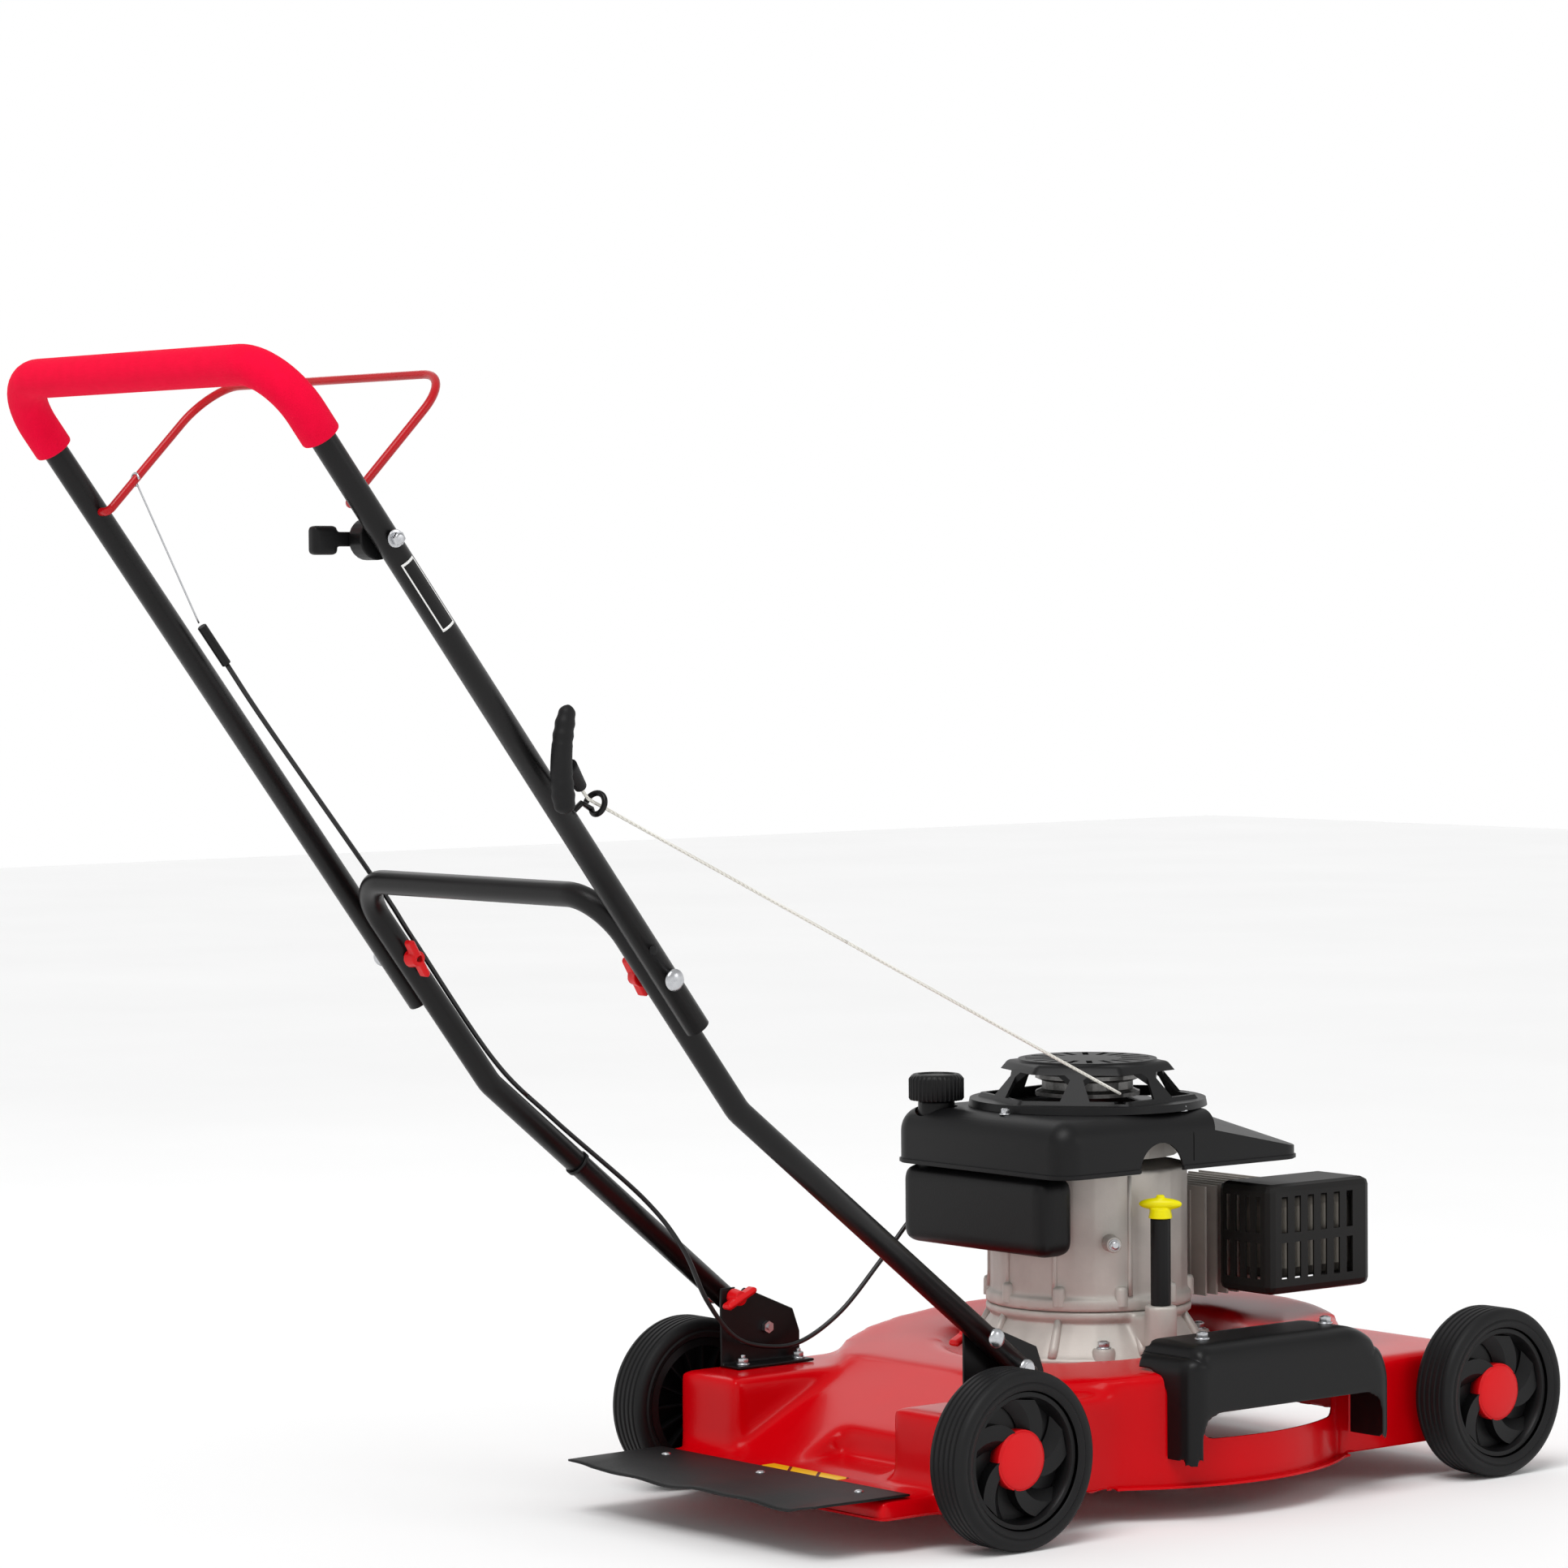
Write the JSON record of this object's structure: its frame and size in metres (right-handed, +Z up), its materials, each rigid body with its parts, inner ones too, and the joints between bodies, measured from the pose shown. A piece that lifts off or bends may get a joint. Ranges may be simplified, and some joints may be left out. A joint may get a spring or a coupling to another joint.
{
  "type": "push lawn mower",
  "caption": "Walk-behind petrol rotary mower: pressed steel deck with side discharge guard, vertical-shaft engine, plain wheels and a two-part folding handle.",
  "frame": {"origin": "centre of the bottom of the bounding box, on the ground, on the mid-plane", "axes": "+Z up, +Y forward along the mower, +X to its right as seen by the person pushing it"},
  "size_m": [0.556, 1.601, 1.1552],
  "materials": {
    "red_enamel": "gloss enamel over pressed steel",
    "red_plastic": "moulded",
    "red_steel": "powder coated rod",
    "black_plastic": "moulded, satin",
    "tyre_rubber": "moulded tread",
    "black_rubber": "moulded",
    "black_paint": "black powder coat",
    "crimson_foam": "closed-cell foam",
    "cast_aluminium": "as cast",
    "bright_steel": "zinc plated",
    "yellow_plastic": "moulded",
    "rope": "braided",
    "cable_sheath": "extruded"
  },
  "bodies": {
    "chassis": {"air_filter": "black_plastic", "blower_housing": "black_plastic", "brake_cable": "cable_sheath", "carburettor": "cast_aluminium", "crankcase": "cast_aluminium", "cylinder": "cast_aluminium", "deck": "red_enamel", "discharge_guard": "black_plastic", "fuel_tank": "black_plastic", "handle_bracket_left": "black_paint", "handle_bracket_right": "black_paint", "muffler": "bright_steel", "muffler_guard": "black_paint", "oil_filler_tube": "black_plastic", "pivot_bolt_left": "bright_steel", "pivot_bolt_right": "bright_steel", "rear_flap": "black_rubber", "recoil_cover": "black_plastic", "spark_plug": "black_rubber", "starter_rope": "rope", "sump": "cast_aluminium", "wheel_bolt_front_left": "bright_steel", "wheel_bolt_front_right": "bright_steel", "wheel_bolt_rear_left": "bright_steel", "wheel_bolt_rear_right": "bright_steel"},
    "wheel_rear_left": {"wheel_rim_rear_left": "black_plastic", "wheel_tyre_rear_left": "tyre_rubber", "hub_cap_rear_left": "red_plastic"},
    "wheel_rear_right": {"wheel_rim_rear_right": "black_plastic", "wheel_tyre_rear_right": "tyre_rubber", "hub_cap_rear_right": "red_plastic"},
    "wheel_front_left": {"wheel_rim_front_left": "black_plastic", "wheel_tyre_front_left": "tyre_rubber", "hub_cap_front_left": "red_plastic"},
    "wheel_front_right": {"wheel_rim_front_right": "black_plastic", "wheel_tyre_front_right": "tyre_rubber", "hub_cap_front_right": "red_plastic"},
    "crank": {"crankshaft": "bright_steel", "flywheel": "cast_aluminium", "blade": "bright_steel", "blade_bolt": "bright_steel"},
    "starter_drum": {"starter_pulley": "black_plastic"},
    "brake_lever": {"engine_brake_lever": "bright_steel"},
    "cap": {"fuel_cap": "black_plastic"},
    "dip": {"dipstick": "yellow_plastic"},
    "lower_frame": {"lower_handle": "black_paint"},
    "upper_frame": {"upper_handle": "black_paint", "foam_grip": "crimson_foam", "rope_guide": "black_paint", "throttle_housing": "black_plastic", "cable_adjuster": "black_plastic", "upper_bolt_left": "bright_steel", "upper_bolt_right": "bright_steel"},
    "lower_wing_left": {"lower_knob_left": "red_plastic"},
    "lower_wing_right": {"lower_knob_right": "red_plastic"},
    "upper_wing_left": {"upper_knob_left": "red_plastic"},
    "upper_wing_right": {"upper_knob_right": "red_plastic"},
    "bail": {"bail_lever": "red_steel"},
    "throttle": {"throttle_lever": "black_plastic"},
    "pull_grip": {"starter_handle": "black_plastic"}
  },
  "joints": [
    {"name": "wheel_rear_left_spin", "type": "hinge", "parent": "chassis", "child": "wheel_rear_left", "pos_m": [-0.253, 0.043, 0.08866], "axis": [1, 0, 0], "continuous": true},
    {"name": "wheel_rear_right_spin", "type": "hinge", "parent": "chassis", "child": "wheel_rear_right", "pos_m": [0.253, 0.043, 0.08866], "axis": [1, 0, 0], "continuous": true},
    {"name": "wheel_front_left_spin", "type": "hinge", "parent": "chassis", "child": "wheel_front_left", "pos_m": [-0.253, 0.712, 0.08866], "axis": [1, 0, 0], "continuous": true},
    {"name": "wheel_front_right_spin", "type": "hinge", "parent": "chassis", "child": "wheel_front_right", "pos_m": [0.253, 0.712, 0.08866], "axis": [1, 0, 0], "continuous": true},
    {"name": "crank_spin", "type": "hinge", "parent": "chassis", "child": "crank", "pos_m": [0, 0.375, 0.2], "axis": [0, 0, 1], "continuous": true},
    {"name": "lower_fold", "type": "hinge", "parent": "chassis", "child": "lower_frame", "pos_m": [0, 0.093, 0.168], "axis": [-1, 0, 0], "range_deg": [0, 115], "deforming": ["brake_cable", "starter_rope"]},
    {"name": "upper_fold", "type": "hinge", "parent": "lower_frame", "child": "upper_frame", "pos_m": [0, -0.355, 0.575], "axis": [1, 0, 0], "range_deg": [-112, 95], "deforming": ["brake_cable", "starter_rope"]},
    {"name": "lower_left_knob_turn", "type": "hinge", "parent": "lower_frame", "child": "lower_wing_left", "pos_m": [-0.19, 0.05, 0.2025], "axis": [1, 0, 0], "continuous": true},
    {"name": "lower_right_knob_turn", "type": "hinge", "parent": "lower_frame", "child": "lower_wing_right", "pos_m": [0.19, 0.05, 0.2025], "axis": [1, 0, 0], "continuous": true},
    {"name": "upper_left_knob_turn", "type": "hinge", "parent": "upper_frame", "child": "upper_wing_left", "pos_m": [-0.1875, -0.355, 0.575], "axis": [1, 0, 0], "continuous": true},
    {"name": "upper_right_knob_turn", "type": "hinge", "parent": "upper_frame", "child": "upper_wing_right", "pos_m": [0.1875, -0.355, 0.575], "axis": [1, 0, 0], "continuous": true},
    {"name": "bail_squeeze", "type": "hinge", "parent": "upper_frame", "child": "bail", "pos_m": [0, -0.69, 1.014], "axis": [1, 0, 0], "range_deg": [0, 72], "stiffness_Nm_per_rad": 0.8, "springref_deg": -34.38},
    {"name": "throttle_turn", "type": "hinge", "parent": "upper_frame", "child": "throttle", "pos_m": [0.1878, -0.6659, 0.983], "axis": [1, 0, 0], "range_deg": [-20, 35]},
    {"name": "starter_pull", "type": "slide", "parent": "upper_frame", "child": "pull_grip", "axis": [0.2498, -0.6995, 0.6695], "range_m": [0, 0.5], "stiffness_N_per_m": 20, "springref_m": -0.5},
    {"name": "starter_drum_turn", "type": "hinge", "parent": "chassis", "child": "starter_drum", "pos_m": [0, 0.375, 0.417], "axis": [0, 0, 1], "range_deg": [-10, 530]},
    {"name": "engine_brake_turn", "type": "hinge", "parent": "chassis", "child": "brake_lever", "pos_m": [-0.12, 0.3, 0.297], "axis": [0, 0, 1], "range_deg": [-1, 27]},
    {"name": "fuel_cap_turn", "type": "hinge", "parent": "chassis", "child": "cap", "pos_m": [-0.095, 0.248, 0.415], "axis": [0, 0, 1], "range_deg": [0, 90]},
    {"name": "dipstick_turn", "type": "hinge", "parent": "chassis", "child": "dip", "pos_m": [0.132, 0.355, 0.29], "axis": [0, 0, 1], "range_deg": [0, 90]}
  ],
  "couplings": [
    {"joint": "starter_drum_turn", "follows": "starter_pull", "rad_per_m": 18.182},
    {"joint": "engine_brake_turn", "follows": "bail_squeeze", "ratio": 0.35}
  ]
}
